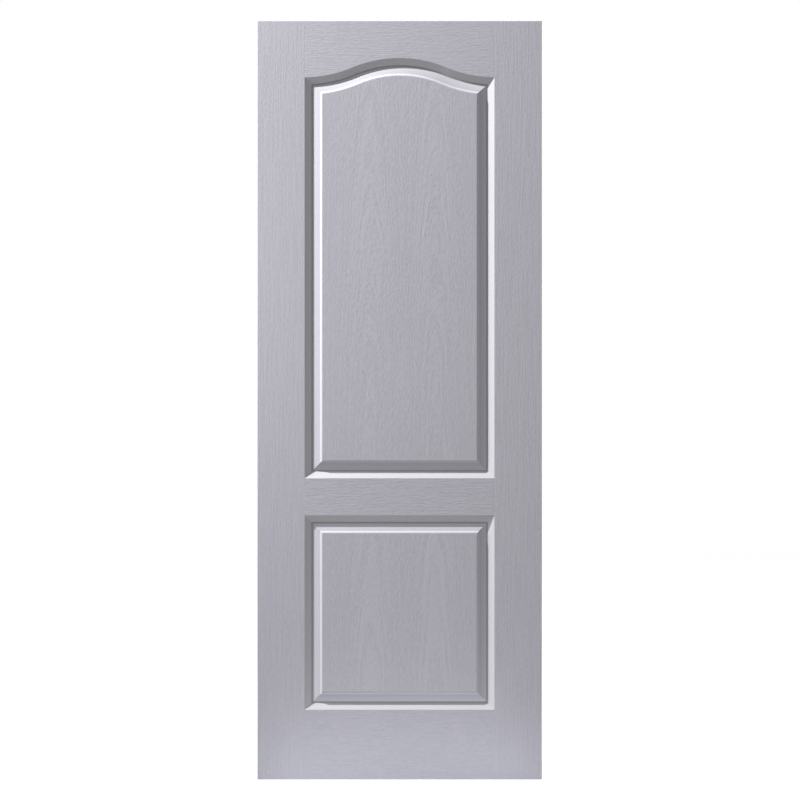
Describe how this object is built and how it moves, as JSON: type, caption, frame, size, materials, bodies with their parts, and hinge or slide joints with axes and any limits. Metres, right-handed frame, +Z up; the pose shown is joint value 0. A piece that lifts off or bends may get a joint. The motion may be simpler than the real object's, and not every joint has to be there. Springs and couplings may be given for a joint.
{
  "type": "moulded panel door leaf",
  "caption": "Interior door leaf with moulded fibreboard skins: an arch-top panel over a square panel, on a softwood frame with a paper honeycomb core, primed and bare of hardware.",
  "frame": {"origin": "foot of the hinge edge, in the middle of the leaf's thickness, on the edge face", "axes": "+X across the leaf from the hinge edge to the latch edge, +Y through the thickness from the front face to the back face, +Z up"},
  "size_m": [0.762, 0.035, 2.032],
  "materials": {
    "primed_skin": "pressed fibreboard with embossed wood grain under pale grey primer, satin",
    "primed_edge": "planed softwood under a thin coat of the same primer, satin",
    "bare_softwood": "bare planed softwood, matt",
    "kraft_paper": "brown kraft paper honeycomb, matt"
  },
  "bodies": {
    "root": {"front_skin": "primed_skin", "back_skin": "primed_skin", "left_stile": "primed_edge", "right_stile": "primed_edge", "top_rail": "primed_edge", "bottom_rail": "primed_edge", "left_lock_block": "bare_softwood", "right_lock_block": "bare_softwood", "upper_honeycomb": "kraft_paper", "lower_honeycomb": "kraft_paper"}
  },
  "joints": []
}
